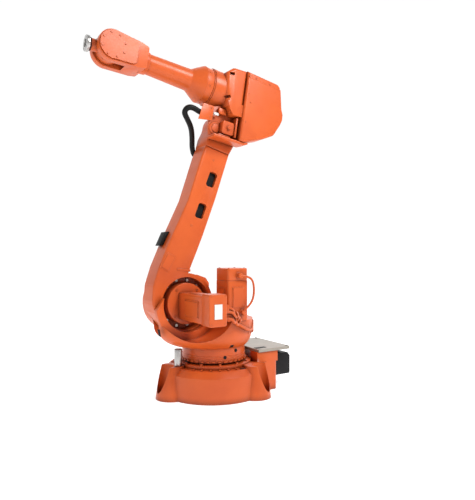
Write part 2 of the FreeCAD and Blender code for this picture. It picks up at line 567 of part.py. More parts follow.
# ---- hose ----------------------------------------------------------------------------------------

HOSE_ROUTE = [(120, 44, 24), (150, 44, 24), (190, 46, 34), (214, 42, 28), (222, 32, 6), (200, 18, -8),
              (156, -16, -30), (124, -58, -60), (98, -98, -96), (71, -114, -125.5), (23.3, -114, -130.3)]


def hose_path(points):
    """A path of straight runs joined by tangent arcs, and the radii of its arcs."""
    spots = [FreeCAD.Vector(*p) for p in points]
    edges = []
    radii = []
    start = spots[0]
    for before, corner, after in zip(spots, spots[1:], spots[2:]):
        arriving = (corner - before).normalize()
        leaving = (after - corner).normalize()
        half_turn = arriving.getAngle(leaving) / 2
        reach = 0.45 * min((corner - before).Length, (after - corner).Length)
        radii.append(reach / math.tan(half_turn))
        first = corner - arriving * reach
        last = corner + leaving * reach
        inward = (leaving - arriving).normalize()
        middle = corner + inward * (radii[-1] / math.cos(half_turn) - radii[-1])
        edges.append(Part.LineSegment(start, first).toShape())
        edges.append(Part.Arc(first, middle, last).toShape())
        start = last
    edges.append(Part.LineSegment(start, spots[-1]).toShape())
    return Part.Wire(edges), radii


def hose():
    radius = worth("hose_radius")
    path, radii = hose_path(HOSE_ROUTE)
    direction = FreeCAD.Vector(*HOSE_ROUTE[1]) - FreeCAD.Vector(*HOSE_ROUTE[0])
    ring = Part.Wire([Part.makeCircle(radius, FreeCAD.Vector(*HOSE_ROUTE[0]), direction)])
    tube = path.makePipeShell([ring], True, False)
    item = doc.addObject("Part::Feature", "hose_tube")
    item.Shape = tube
    node(item, "elbow_hose", "forearm")
    print("hose radii", [round(r, 1) for r in radii], "length", round(path.Length, 1),
          "volume ratio", round(tube.Volume / (math.pi * radius ** 2 * path.Length), 4))


base_casting()
base_fittings()
turret_casting()
turret_fittings()
column()
elbow_housing()
forearm()
wrist()
hose()
doc.recompute()

for item in doc.Objects:
    if "Invalid" in item.State or "Error" in item.State:
        raise RuntimeError(f"{item.Name} failed: {item.State}")
for item in nodes:
    if item.Shape.isNull() or not item.Shape.isValid():
        raise RuntimeError(f"{item.Label} has no valid shape")
os.makedirs("parts", exist_ok=True)
for item in nodes:
    item.Shape.exportStep(f"parts/{item.Label}.step")
    print(item.Label, len(item.Shape.Solids), round(item.Shape.Volume / 1000), "cm3")
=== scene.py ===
"""Looks of a six-axis industrial robot arm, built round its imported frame.

The frame gives every construction piece at its real size. This script gives each of them its finish, adds
the small fittings that the construction leaves out, and sets up a plain studio.
"""

import json
import logging
import math
from dataclasses import dataclass, field
from enum import Enum
from typing import Iterable, Sequence

import bmesh
import bpy
from mathutils import Matrix, Vector

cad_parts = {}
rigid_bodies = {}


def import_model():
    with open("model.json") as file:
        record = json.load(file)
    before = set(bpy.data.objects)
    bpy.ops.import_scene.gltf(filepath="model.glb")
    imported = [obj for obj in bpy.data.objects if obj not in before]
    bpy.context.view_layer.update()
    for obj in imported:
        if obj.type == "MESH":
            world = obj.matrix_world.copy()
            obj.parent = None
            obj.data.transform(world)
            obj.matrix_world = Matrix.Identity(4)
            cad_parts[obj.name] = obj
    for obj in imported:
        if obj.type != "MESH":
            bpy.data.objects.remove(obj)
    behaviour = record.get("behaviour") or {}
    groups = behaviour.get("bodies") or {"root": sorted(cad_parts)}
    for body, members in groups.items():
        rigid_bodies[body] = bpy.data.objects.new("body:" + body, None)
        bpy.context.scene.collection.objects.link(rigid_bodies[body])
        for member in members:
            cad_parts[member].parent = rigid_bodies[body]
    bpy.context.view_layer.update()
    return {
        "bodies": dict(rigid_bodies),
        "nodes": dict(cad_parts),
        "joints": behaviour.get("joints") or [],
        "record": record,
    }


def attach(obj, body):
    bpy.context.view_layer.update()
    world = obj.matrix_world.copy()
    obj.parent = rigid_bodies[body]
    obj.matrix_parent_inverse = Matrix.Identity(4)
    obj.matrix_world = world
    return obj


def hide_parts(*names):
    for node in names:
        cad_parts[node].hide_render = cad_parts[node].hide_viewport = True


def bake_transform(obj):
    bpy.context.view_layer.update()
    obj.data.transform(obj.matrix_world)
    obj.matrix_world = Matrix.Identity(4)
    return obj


log = logging.getLogger("robot_arm")

MM = 0.001
WELD_REACH = 0.02 * MM  # corners nearer than this become one
FLAT_DEGREES = 0.8  # faces that turn by less than this become one flat
SHADE_DEGREES = 34.0  # rounded edges sharper than this stay sharp in the shading
MOST_CHANGE = 0.02  # the share of its volume that a rounding may add or take
LEAST_LEFT = 0.9  # the share of its volume that a cut piece keeps


class Body(Enum):
    """The rigid bodies of the arm, from the floor to the tool."""

    BASE = "base"
    TURRET = "turret"
    COLUMN = "column"
    ELBOW = "elbow"
    FOREARM = "forearm"
    WRIST = "wrist"
    TOOL = "tool"


class Slot(Enum):
    """The record's material slots."""

    ORANGE = "orange_paint"
    GREY = "grey_paint"
    PLASTIC = "black_plastic"
    RUBBER = "black_rubber"
    ZINC = "zinc_steel"
    STEEL = "bare_steel"
    PLATE = "plate_silver"


# ---- finishes ----------------------------------------------------------------------------------------


class Graph:
    """A small helper that adds nodes to a material and links them."""

    def __init__(self, name: str) -> None:
        """Start an empty material with a Principled shader.

        Args:
            name: the material's name.
        """
        self.material = bpy.data.materials.new(name)
        self.material.use_nodes = True
        self.nodes = self.material.node_tree.nodes
        self.links = self.material.node_tree.links
        self.shader = self.nodes["Principled BSDF"]
        self.coords = self.nodes.new("ShaderNodeTexCoord").outputs["Object"]

    def link(self, source: bpy.types.NodeSocket, target: bpy.types.NodeSocket) -> None:
        """Join an output to an input."""
        self.links.new(source, target)

    def noise(self, scale: float, detail: float = 4.0, roughness: float = 0.55) -> bpy.types.NodeSocket:
        """Add a noise texture on object coordinates.

        Args:
            scale: features per metre.
            detail: octaves.
            roughness: strength of the finer octaves.

        Returns:
            The noise's factor output.
        """
        node = self.nodes.new("ShaderNodeTexNoise")
        node.inputs["Scale"].default_value = scale
        node.inputs["Detail"].default_value = detail
        node.inputs["Roughness"].default_value = roughness
        self.link(self.coords, node.inputs["Vector"])
        return node.outputs["Fac"]

    def ramp(self, source: bpy.types.NodeSocket, low: float, high: float) -> bpy.types.NodeSocket:
        """Stretch a value between two levels to run from 0 to 1.

        Args:
            source: the value.
            low: the level that becomes 0.
            high: the level that becomes 1.

        Returns:
            The stretched value.
        """
        node = self.nodes.new("ShaderNodeMapRange")
        node.inputs["From Min"].default_value = low
        node.inputs["From Max"].default_value = high
        self.link(source, node.inputs["Value"])
        return node.outputs["Result"]

    def maths(self, operation: str, first: bpy.types.NodeSocket,
              second: bpy.types.NodeSocket | float) -> bpy.types.NodeSocket:
        """Combine two values.

        Args:
            operation: a Math node's operation.
            first: the first value.
            second: the second value, or a number.

        Returns:
            The result.
        """
        node = self.nodes.new("ShaderNodeMath")
        node.operation = operation
        node.use_clamp = True
        self.link(first, node.inputs[0])
        if isinstance(second, float):
            node.inputs[1].default_value = second
        else:
            self.link(second, node.inputs[1])
        return node.outputs[0]

    def mix(self, amount: bpy.types.NodeSocket, first: bpy.types.NodeSocket | Sequence[float],
            second: bpy.types.NodeSocket | Sequence[float]) -> bpy.types.NodeSocket:
        """Blend two colours.

        Args:
            amount: 0 for the first colour, 1 for the second.
            first: a colour or a colour output.
            second: a colour or a colour output.

        Returns:
            The blended colour.
        """
        node = self.nodes.new("ShaderNodeMix")
        node.data_type = "RGBA"
        self.link(amount, node.inputs["Factor"])
        for value, socket in ((first, node.inputs[6]), (second, node.inputs[7])):
            if isinstance(value, bpy.types.NodeSocket):
                self.link(value, socket)
            else:
                socket.default_value = (*value, 1.0)
        return node.outputs[2]

    def edges(self, radius: float) -> bpy.types.NodeSocket:
        """Find convex and concave edges, where a rounded normal leaves the true one.

        Args:
            radius: how far from an edge the effect reaches, in metres.

        Returns:
            A value that rises towards edges.
        """
        bevel = self.nodes.new("ShaderNodeBevel")
        bevel.samples = 4
        bevel.inputs["Radius"].default_value = radius
        true_normal = self.nodes.new("ShaderNodeNewGeometry").outputs["Normal"]
        dot = self.nodes.new("ShaderNodeVectorMath")
        dot.operation = "DOT_PRODUCT"
        self.link(bevel.outputs["Normal"], dot.inputs[0])
        self.link(true_normal, dot.inputs[1])
        return self.ramp(dot.outputs["Value"], 0.995, 0.85)

    def crevices(self, distance: float) -> bpy.types.NodeSocket:
        """Find sheltered places.

        Args:
            distance: how near a neighbour has to be, in metres.

        Returns:
            A value that rises in corners and gaps.
        """
        node = self.nodes.new("ShaderNodeAmbientOcclusion")
        node.samples = 6
        node.inputs["Distance"].default_value = distance
        return self.ramp(node.outputs["AO"], 0.95, 0.25)

    def bump(self, *layers: tuple[bpy.types.NodeSocket, float, float]) -> None:
        """Stack bump layers onto the shader's normal.

        Args:
            layers: each layer's height, its strength and its depth in metres.
        """
        normal = None
        for height, strength, depth in layers:
            node = self.nodes.new("ShaderNodeBump")
            node.inputs["Strength"].default_value = strength
            node.inputs["Distance"].default_value = depth
            self.link(height, node.inputs["Height"])
            if normal:
                self.link(normal, node.inputs["Normal"])
            normal = node.outputs["Normal"]
        self.link(normal, self.shader.inputs["Normal"])


@dataclass(frozen=True)
class Paint:
    """Semi-gloss machine paint over a casting or a sheet."""

    name: str
    colour: tuple[float, float, float]
    shade: tuple[float, float, float]
    worn: tuple[float, float, float]
    gloss: float = 0.36
    grain: float = 0.35
    drift: float = 0.5
    flecks: float = 0.12
    wear: float = 0.55
    # strength of the painted shade that ambient occlusion lays in corners and creases
    painted_corner_shade: float = 0.85
    coat: float = 0.05
    coat_roughness: float = 0.22
    specular: float = 0.32

    def material(self) -> bpy.types.Material:
        """Build the paint: colour drift, chalky worn edges, painted shade in corners and creases, and a cast
        skin.
        """
        graph = Graph(self.name)
        drift = graph.ramp(graph.noise(5.0, 3.0), 0.3, 0.7)
        flecks = graph.ramp(graph.noise(160.0, 5.0, 0.7), 0.52, 0.72)
        rubbed = graph.edges(2.2 * MM)
        wear = graph.maths("MULTIPLY", rubbed, graph.ramp(graph.noise(38.0, 4.0, 0.7), 0.46, 0.62))
        # painted shade: the ambient occlusion mask darkens corners and creases
        painted_corner_shade = graph.maths("MULTIPLY", graph.crevices(30 * MM), self.painted_corner_shade)
        tone = graph.mix(graph.maths("MULTIPLY", drift, self.drift), self.colour, self.shade)
        tone = graph.mix(graph.maths("MULTIPLY", flecks, self.flecks), tone, self.shade)
        tone = graph.mix(graph.maths("MULTIPLY", wear, self.wear), tone, self.worn)
        # the dark colour of the painted shade in corners and creases
        painted_shade_colour = tuple(0.22 * channel for channel in self.shade)
        graph.link(graph.mix(painted_corner_shade, tone, painted_shade_colour), graph.shader.inputs["Base Color"])
        uneven = graph.maths("MULTIPLY", graph.noise(22.0, 4.0), 0.22)
        rough = graph.maths("ADD", uneven, self.gloss - 0.1)
        graph.link(rough, graph.shader.inputs["Roughness"])
        graph.shader.inputs["Coat Weight"].default_value = self.coat
        graph.shader.inputs["Coat Roughness"].default_value = self.coat_roughness
        graph.shader.inputs["Specular IOR Level"].default_value = self.specular
        graph.bump((graph.noise(420.0, 3.0), self.grain, 0.25 * MM), (graph.noise(60.0, 3.0), 0.22, 0.6 * MM))
        return graph.material


@dataclass(frozen=True)
class Metal:
    """Bare or plated metal, turned or brushed."""

    name: str
    colour: tuple[float, float, float]
    stain: tuple[float, float, float]
    roughness: float = 0.34
    staining: float = 0.5
    # strength of the painted shade that ambient occlusion lays in corners
    painted_corner_shade: float = 0.7

    def material(self) -> bpy.types.Material:
        """Build the metal: fine scratches, faint staining and painted shade in its corners."""
        graph = Graph(self.name)
        stains = graph.ramp(graph.noise(34.0, 5.0, 0.65), 0.45, 0.75)
        # painted shade: the ambient occlusion mask darkens corners toward near black
        painted_corner_shade = graph.maths("MULTIPLY", graph.crevices(9 * MM), self.painted_corner_shade)
        tone = graph.mix(graph.maths("MULTIPLY", stains, self.staining), self.colour, self.stain)
        graph.link(graph.mix(painted_corner_shade, tone, (0.04, 0.035, 0.03)), graph.shader.inputs["Base Color"])
        graph.shader.inputs["Metallic"].default_value = 1.0
        scratches = graph.maths("MULTIPLY", graph.noise(210.0, 4.0), 0.25)
        rough = graph.maths("ADD", scratches, self.roughness - 0.1)
        graph.link(rough, graph.shader.inputs["Roughness"])
        graph.bump((graph.noise(900.0, 2.0), 0.25, 0.08 * MM))
        return graph.material


@dataclass(frozen=True)
class Polymer:
    """Moulded plastic or rubber."""

    name: str
    colour: tuple[float, float, float]
    dust: tuple[float, float, float]
    roughness: float = 0.5
    grain: float = 0.4
    dusting: float = 0.22
    scuffing: float = 0.35
    specular: float = 0.22

    def material(self) -> bpy.types.Material:
        """Build the polymer: moulded grain, scuffs on edges and a little dust."""
        graph = Graph(self.name)
        dust = graph.maths("MULTIPLY", graph.ramp(graph.noise(26.0, 5.0, 0.7), 0.5, 0.8), self.dusting)
        scuffs = graph.maths("MULTIPLY", graph.edges(1.2 * MM), self.scuffing)
        tone = graph.mix(graph.maths("ADD", dust, scuffs), self.colour, self.dust)
        graph.link(tone, graph.shader.inputs["Base Color"])
        graph.shader.inputs["Specular IOR Level"].default_value = self.specular
        uneven = graph.maths("MULTIPLY", graph.noise(120.0, 4.0), 0.3)
        rough = graph.maths("ADD", uneven, self.roughness - 0.12)
        graph.link(rough, graph.shader.inputs["Roughness"])
        graph.bump((graph.noise(1300.0, 2.0), self.grain, 0.12 * MM))
        return graph.material


FINISHES: dict[Slot, Paint | Metal | Polymer] = {
    Slot.ORANGE: Paint("orange paint", (0.68, 0.118, 0.020), (0.46, 0.056, 0.011), (0.82, 0.30, 0.13)),
    Slot.GREY: Paint("grey paint", (0.36, 0.33, 0.28), (0.28, 0.25, 0.21), (0.52, 0.50, 0.46)),
    Slot.PLASTIC: Polymer("black plastic", (0.005, 0.005, 0.006), (0.035, 0.033, 0.03)),
    Slot.RUBBER: Polymer("black rubber", (0.004, 0.004, 0.004), (0.022, 0.021, 0.02), 0.5, 0.6),
    Slot.ZINC: Metal("plated steel", (0.52, 0.50, 0.46), (0.34, 0.28, 0.20)),
    Slot.STEEL: Metal("machined steel", (0.50, 0.49, 0.48), (0.30, 0.27, 0.24), 0.3),
    Slot.PLATE: Polymer("label plate", (0.78, 0.77, 0.74), (0.55, 0.52, 0.48), 0.4, 0.1),
}


class Wardrobe:
    """Hands out each finish's material, built once."""

    def __init__(self) -> None:
        """Start with no materials."""
        self.materials: dict[Slot, bpy.types.Material] = {}

    def dress(self, piece: bpy.types.Object, slot: Slot) -> bpy.types.Object:
        """Give a piece one finish all over.

        Args:
            piece: a mesh or curve object.
            slot: the record's slot.

        Returns:
            The piece.
        """
        if slot not in self.materials:
            self.materials[slot] = FINISHES[slot].material()
        piece.data.materials.clear()
        piece.data.materials.append(self.materials[slot])
        if piece.type == "MESH":
            for polygon in piece.data.polygons:
                polygon.material_index = 0
        return piece


# ---- places ------------------------------------------------------------------------------------------


@dataclass(frozen=True)
class Place:
    """A sub-assembly's own frame: x along it, y to the robot's left, z up from it."""

    origin: Vector
    pitch: float

    def matrix(self) -> Matrix:
        """Return the matrix from this frame to the robot's."""
        return Matrix.Translation(self.origin) @ Matrix.Rotation(-self.pitch, 4, "Y")


def joint_place(joints: Iterable[dict], name: str) -> Vector:
    """Return the point that a joint turns about."""
    return Vector(next(j["pos_m"] for j in joints if j["name"] == name))


def joint_pitch(joints: Iterable[dict], name: str) -> float:
    """Return how far a joint's axis points above the horizontal."""
    x, _, z = next(j["axis"] for j in joints if j["name"] == name)
    return math.atan2(z, x)


# ---- mesh tools --------------------------------------------------------------------------------------


def deselect_all() -> None:
    """Leave nothing selected and nothing active."""
    for thing in bpy.context.view_layer.objects:
        thing.select_set(False)
    bpy.context.view_layer.objects.active = None


def choose(piece: bpy.types.Object) -> None:
    """Make one object the active and only selected one.

    Args:
        piece: the object.
    """
    deselect_all()
    piece.select_set(True)
    bpy.context.view_layer.objects.active = piece


def apply_modifier(piece: bpy.types.Object, kind: str, **settings: object) -> None:
    """Add a modifier with its settings and apply it.

    Args:
        piece: the object.
        kind: the modifier's type.
        settings: its properties.
    """
    choose(piece)
    modifier = piece.modifiers.new(kind.title(), kind)
    for name, value in settings.items():
        setattr(modifier, name, value)
    bpy.ops.object.modifier_apply(modifier=modifier.name)


def soften(piece: bpy.types.Object, width: float, segments: int = 3, angle: float = 28.0) -> None:
    """Round a piece's sharp edges and smooth its shading.

    Args:
        piece: the object.
        width: the rounding, in millimetres.
        segments: how many facets it has.
        angle: edges sharper than this, in degrees, are rounded.
    """
    apply_modifier(piece, "BEVEL", width=width * MM, segments=segments, limit_method="ANGLE",
                   angle_limit=math.radians(angle), harden_normals=False, use_clamp_overlap=True)
    choose(piece)
    bpy.ops.object.shade_smooth_by_angle(angle=math.radians(SHADE_DEGREES))


def weld(piece: bpy.types.Object) -> None:
    """Join a piece's coincident corners.

    Args:
        piece: the object.
    """
    choose(piece)
    bpy.ops.object.mode_set(mode="EDIT")
    bpy.ops.mesh.select_all(action="SELECT")
    bpy.ops.mesh.remove_doubles(threshold=WELD_REACH)
    bpy.ops.object.mode_set(mode="OBJECT")


def volume(piece: bpy.types.Object) -> float:
    """Measure a closed mesh.

    Args:
        piece: the object.

    Returns:
        Its volume in cubic metres.
    """
    mesh = bmesh.new()
    mesh.from_mesh(piece.data)
    amount = mesh.calc_volume()
    mesh.free()
    return amount


def carve(piece: bpy.types.Object, cutter: bpy.types.Object) -> None:
    """Cut one shape out of another, and throw the cutter away.

    Args:
        piece: the shape that is kept.
        cutter: the shape whose room is taken.
    """
    before = piece.data.copy()
    whole = volume(piece)
    apply_modifier(piece, "BOOLEAN", operation="DIFFERENCE", solver="EXACT", object=cutter)
    if not LEAST_LEFT * whole < volume(piece) < whole:
        log.info("%s was not cut by %s", piece.name, cutter.name)
        piece.data = before
    bpy.data.objects.remove(cutter)


def begin(name: str) -> bpy.types.Object:
    """Name the object that an operator has just added, and open it for editing.

    Args:
        name: its name.

    Returns:
        The object, in edit mode and selected all over.
    """
    piece = bpy.context.object
    piece.name = name
    bpy.ops.object.mode_set(mode="EDIT")
    bpy.ops.mesh.select_all(action="SELECT")
    return piece


def end(piece: bpy.types.Object, matrix: Matrix, angle: float = 30.0) -> bpy.types.Object:
    """Close a piece after editing, face it outwards, smooth it and stand it in its place.

    Args:
        piece: the object in edit mode.
        matrix: its place.
        angle: edges sharper than this, in degrees, stay sharp.

    Returns:
        The piece.
    """
    bpy.ops.mesh.select_all(action="SELECT")
    bpy.ops.mesh.normals_make_consistent(inside=False)
    bpy.ops.object.mode_set(mode="OBJECT")
    choose(piece)
    bpy.ops.object.shade_smooth_by_angle(angle=math.radians(angle))
    piece.data.transform(matrix)
    return piece


def lathe(name: str, steps: Sequence[tuple[float, float]], matrix: Matrix,
          sides: int = 28) -> bpy.types.Object:
    """Turn a piece: a disc extruded and resized from step to step along its own z.

    Args:
        name: the piece's name.
        steps: radius and height of every ring, in millimetres, from the foot.
        matrix: its place.
        sides: facets round it.

    Returns:
        The piece.
    """
    deselect_all()
    bpy.ops.mesh.primitive_circle_add(vertices=sides, radius=steps[0][0] * MM, fill_type="NGON",
                                      location=(0, 0, 0))
    piece = begin(name)
    bpy.ops.transform.translate(value=(0, 0, steps[0][1] * MM))
    for (radius, height), (next_radius, next_height) in zip(steps, steps[1:]):
        bpy.ops.mesh.extrude_region_move(
            TRANSFORM_OT_translate={"value": (0, 0, (next_height - height) * MM)})
        grow = next_radius / radius
        bpy.ops.transform.resize(value=(grow, grow, 1.0), center_override=(0, 0, 0))
    return end(piece, matrix)


def slab(name: str, size: tuple[float, float, float], matrix: Matrix, edge: float = 2.0,
         step: float = 0.0) -> bpy.types.Object:
    """Shape a flat-backed panel: a block with rounded edges and, if asked, a raised middle.

    Args:
        name: the piece's name.
        size: its length, width and height in millimetres; it stands on z = 0.
        matrix: its place.
        edge: the rounding of its edges, in millimetres.
        step: the inset of a raised middle, in millimetres.

    Returns:
        The piece.
    """
    deselect_all()
    bpy.ops.mesh.primitive_cube_add(size=1.0, location=(0, 0, 0))
    piece = begin(name)
    bpy.ops.transform.resize(value=tuple(value * MM for value in size), center_override=(0, 0, 0))
    bpy.ops.transform.translate(value=(0, 0, size[2] / 2 * MM))
    bpy.ops.mesh.bevel(offset=edge * MM, segments=2, affect="EDGES")
    if step:
        bpy.ops.mesh.select_all(action="DESELECT")
        mesh = bmesh.from_edit_mesh(piece.data)
        for face in mesh.faces:
            face.select_set(face.normal.z > 0.99)
        bmesh.update_edit_mesh(piece.data)
        bpy.ops.mesh.inset(thickness=step * MM, depth=0)
        bpy.ops.mesh.extrude_region_move(TRANSFORM_OT_translate={"value": (0, 0, 0.35 * step * MM)})
    return end(piece, matrix)


def merged(name: str, pieces: Sequence[bpy.types.Object]) -> bpy.types.Object:
    """Join several pieces into one object.

    Args:
        name: the result's name.
        pieces: what it is made of.

    Returns:
        The one object.
    """
    choose(pieces[0])
    for piece in pieces:
        piece.select_set(True)
    if len(pieces) > 1:
        bpy.ops.object.join()
    pieces[0].name = name
    return pieces[0]


def spline(name: str, points: Sequence[Vector], radius: float) -> bpy.types.Object:
    """Lay a round cable or hose along control points.

    Args:
        name: the object's name.
        points: control points in metres.
        radius: the cable's radius in millimetres.

    Returns:
        The curve.
    """
    data = bpy.data.curves.new(name, "CURVE")
    data.dimensions = "3D"
    data.bevel_depth = radius * MM
    data.bevel_resolution = 5
    data.use_fill_caps = True
    line = data.splines.new("NURBS")
    line.points.add(len(points) - 1)
    for point, place in zip(line.points, points):
        point.co = (*place, 1.0)
    line.order_u = 3
    line.use_endpoint_u = True
    line.resolution_u = 14
    curve = bpy.data.objects.new(name, data)
    bpy.context.scene.collection.objects.link(curve)
    return curve


def rotation(degrees: float, axis: str) -> Matrix:
    """Return a turn about an axis."""
    return Matrix.Rotation(math.radians(degrees), 4, axis)


class Facing(Enum):
    """Which way a fitting's foot-to-top direction points."""

    UP = (0.0, "X")
    LEFT = (-90.0, "X")
    RIGHT = (90.0, "X")
    FRONT = (90.0, "Y")
    BACK = (-90.0, "Y")

    def matrix(self) -> Matrix:
        """Return the turn from upright to this way."""
        return rotation(*self.value)


def outward(degrees: float, droop: float = 0.0) -> Matrix:
    """Return the turn that faces a fitting away from the turning axis.

    Args:
        degrees: its bearing round the axis, from the front.
        droop: how far it looks down, in degrees.

    Returns:
        The turn.
    """
    return rotation(degrees, "Z") @ rotation(90 + droop, "Y")


def shift(x: float, y: float, z: float) -> Matrix:
    """Return a move, given in millimetres."""
    return Matrix.Translation(Vector((x, y, z)) * MM)


class Workshop:
    """Copies, dresses and mounts pieces for every sub-assembly."""

    def __init__(self, frame: dict) -> None:
        """Keep the frame and an empty wardrobe.
        """
        self.frame = frame
        self.wardrobe = Wardrobe()
        record = frame["record"]
        self.slots = {part["node"]: Slot(part["material_slot"]) for part in record["subparts"]}
        bodies = record["behaviour"]["bodies"]
        self.body_of = {node: body for body, nodes in bodies.items() for node in nodes}
        self.dressed: set[str] = set()

    def finish_node(self, node: str) -> None:
        """Give a construction piece its finish where it is.

        Args:
            node: the construction piece.
        """
        self.wardrobe.dress(self.frame["nodes"][node], self.slots[node])
        self.dressed.add(node)
        log.info("dressed %s", node)

    def recast(self, node: str, width: float, segments: int = 3,
               cutters: Sequence[bpy.types.Object] = ()) -> bpy.types.Object:
        """Stand a copy of a construction piece with rounded edges in its place.

        Args:
            node: the construction piece.
            width: the rounding, in millimetres.
            segments: how many facets the rounding has.
            cutters: shapes whose room is cut out of the copy, and which are used up.

        Returns:
            The new piece.
        """
        source = self.frame["nodes"][node]
        piece = bpy.data.objects.new(f"{node}_look", source.data.copy())
        bpy.context.scene.collection.objects.link(piece)
        weld(piece)
        for cutter in cutters:
            carve(piece, cutter)
        whole = volume(piece)
        sharp = piece.data.copy()
        choose(piece)
        bpy.ops.object.mode_set(mode="EDIT")
        bpy.ops.mesh.select_all(action="SELECT")
        bpy.ops.mesh.dissolve_limited(angle_limit=math.radians(FLAT_DEGREES))
        bpy.ops.object.mode_set(mode="OBJECT")
        soften(piece, width, segments)
        if abs(volume(piece) / whole - 1) > MOST_CHANGE:
            log.info("%s keeps its sharp edges: rounding changed its volume", node)
            piece.data = sharp
            choose(piece)
            bpy.ops.object.shade_smooth_by_angle(angle=math.radians(SHADE_DEGREES))
        self.mount(piece, Body(self.body_of[node]), self.slots[node], replaces=(node,))
        self.dressed.add(node)
        return piece

    def mount(self, piece: bpy.types.Object, body: Body, slot: Slot,
              replaces: Sequence[str] = ()) -> bpy.types.Object:
        """Dress a finished piece, and let it ride on its body.

        Args:
            piece: the finished object.
            body: the body that it moves with.
            slot: its finish.
            replaces: construction pieces that it stands for.

        Returns:
            The piece.
        """
        self.wardrobe.dress(piece, slot)
        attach(piece, body.value)
        if replaces:
            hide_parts(*replaces)
        log.info("mounted %s on %s", piece.name, body.value)
        return piece


@dataclass
class Castings:
    """Construction pieces shown with the rounded edges of castings, sheets and motors."""

    shop: Workshop
    elbow: Matrix
    pocket_size: tuple[float, float, float] = (24.0, 30.0, 13.0)
    pocket_spots: tuple[tuple[float, float], ...] = ((38.0, 216.0), (42.0, 112.0), (36.0, 52.0))
    pocket_side: float = 84.0
    pocket_tilt: float = 12.0
    roundings: dict[str, float] = field(default_factory=lambda: {
        "base_casting": 5.0, "turret_casting": 5.0, "lower_arm": 4.0, "elbow_head": 3.0,
        "elbow_housing": 6.0, "rear_cover": 5.0, "forearm_tube": 3.0, "wrist_fork": 9.0,
        "wrist_tilt_unit": 3.0,
        "shoulder_motor": 2.0, "shoulder_motor_cap": 2.0, "shoulder_motor_flange": 2.0,
        "turning_motor": 2.0, "turning_motor_cap": 2.0, "lifting_lug": 3.0, "bottom_plate": 2.0,
        "hose_bracket": 0.8, "connection_lid": 1.5, "connector_panel": 2.5, "shoulder_gear_cover": 2.5,
        "turning_bearing": 1.2, "elbow_motor": 2.0, "arm_buffer": 2.0,
        "tool_flange": 0.8, "stop_post": 1.5, "turning_collar": 1.0, "elbow_cap": 1.0})

    def pockets(self) -> list[bpy.types.Object]:
        """Return the cutters of the bolt pockets in the elbow housing's front flange."""
        tilt = rotation(self.pocket_tilt, "Y")
        return [slab(f"pocket_{n}", self.pocket_size,
                     self.elbow @ shift(u + 8.0, self.pocket_side, height) @ tilt, 2.0)
                for n, (u, height) in enumerate(self.pocket_spots)]

    def build(self) -> None:
        """Recast every listed piece, and dress the rest as they are."""
        for node, width in self.roundings.items():
            self.shop.recast(node, width, cutters=self.pockets() if node == "elbow_housing" else ())
        for node in self.shop.frame["nodes"]:
            if node not in self.shop.dressed:
                self.shop.finish_node(node)


@dataclass
class Fittings:
    """Screws, plugs, panels and cables on one sub-assembly, drawn in its own frame in millimetres."""

    shop: Workshop
    body: Body
    frame: Matrix

    def stand(self, facing: Facing | Matrix, x: float, y: float, z: float) -> Matrix:
        """Return the place of a fitting in the robot's frame."""
        turn = facing.matrix() if isinstance(facing, Facing) else facing
        return self.frame @ shift(x, y, z) @ turn

    def screws(self, name: str, spots: Sequence[tuple[float, float, float]], facing: Facing, radius: float,
               height: float = 3.0, slot: Slot = Slot.ORANGE) -> None:
        """Set socket screws on a washer.

        Args:
            name: the group's name.
            spots: where their seats are.
            facing: which way they look.
            radius: of the head.
            height: of the head.
            slot: their finish.
        """
        steps = [(1.35 * radius, 0.0), (1.35 * radius, 0.3 * height), (radius, 0.34 * height),
                 (radius, 0.86 * height), (0.86 * radius, height), (0.52 * radius, height),
                 (0.46 * radius, 0.5 * height)]
        made = [lathe(f"{name}_{n}", steps, self.stand(facing, *spot), 20) for n, spot in enumerate(spots)]
        self.shop.mount(merged(name, made), self.body, slot)

    def panel(self, name: str, size: tuple[float, float, float], spot: tuple[float, float, float],
              facing: Facing | Matrix, slot: Slot = Slot.ORANGE, edge: float = 2.0, step: float = 0.0) -> None:
        """Fix a shaped panel or block."""
        self.shop.mount(slab(name, size, self.stand(facing, *spot), edge, step), self.body, slot)

    def turned(self, name: str, steps: Sequence[tuple[float, float]], spot: tuple[float, float, float],
               facing: Facing | Matrix, slot: Slot = Slot.ORANGE, sides: int = 32) -> None:
        """Fix a turned piece."""
        self.shop.mount(lathe(name, steps, self.stand(facing, *spot), sides), self.body, slot)

    def lead(self, name: str, points: Sequence[tuple[float, float, float]], radius: float,
             slot: Slot = Slot.ORANGE) -> None:
        """Lay a fixed lead whose ends go into the robot."""
        route = [self.frame @ (Vector(point) * MM) for point in points]
        self.shop.mount(spline(name, route, radius), self.body, slot)


